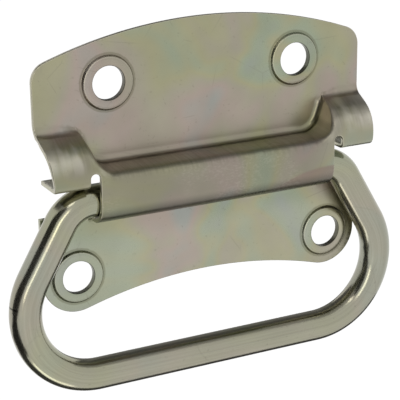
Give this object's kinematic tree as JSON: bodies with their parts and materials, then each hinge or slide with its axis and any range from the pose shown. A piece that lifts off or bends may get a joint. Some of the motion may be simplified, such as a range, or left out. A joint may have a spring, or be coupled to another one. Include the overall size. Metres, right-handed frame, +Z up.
{
  "type": "chest handle",
  "caption": "Stamped steel chest handle with raised ears and a folded channel that holds a swinging bent-rod bail, for screwing to the side of a chest, crate or toolbox.",
  "frame": {"origin": "on the back face of the plate, midway between the two upper screw holes", "axes": "+X along the handle to the right as seen from the front, +Y into the chest wall, +Z up"},
  "size_m": [0.1066, 0.0109, 0.0893],
  "materials": {
    "plated_sheet": "satin zinc plating with a clear, slightly iridescent passivate over pressed sheet steel",
    "plated_rod": "brighter zinc plating over drawn steel rod, with fine lines along the rod"
  },
  "bodies": {
    "plate": {"back_plate": "plated_sheet"},
    "handle": {"bail": "plated_rod"}
  },
  "joints": [
    {"name": "bail_swing", "type": "hinge", "parent": "plate", "child": "handle", "pos_m": [0, -0.00542, -0.027], "axis": [-1, 0, 0], "range_deg": [0, 90]}
  ]
}
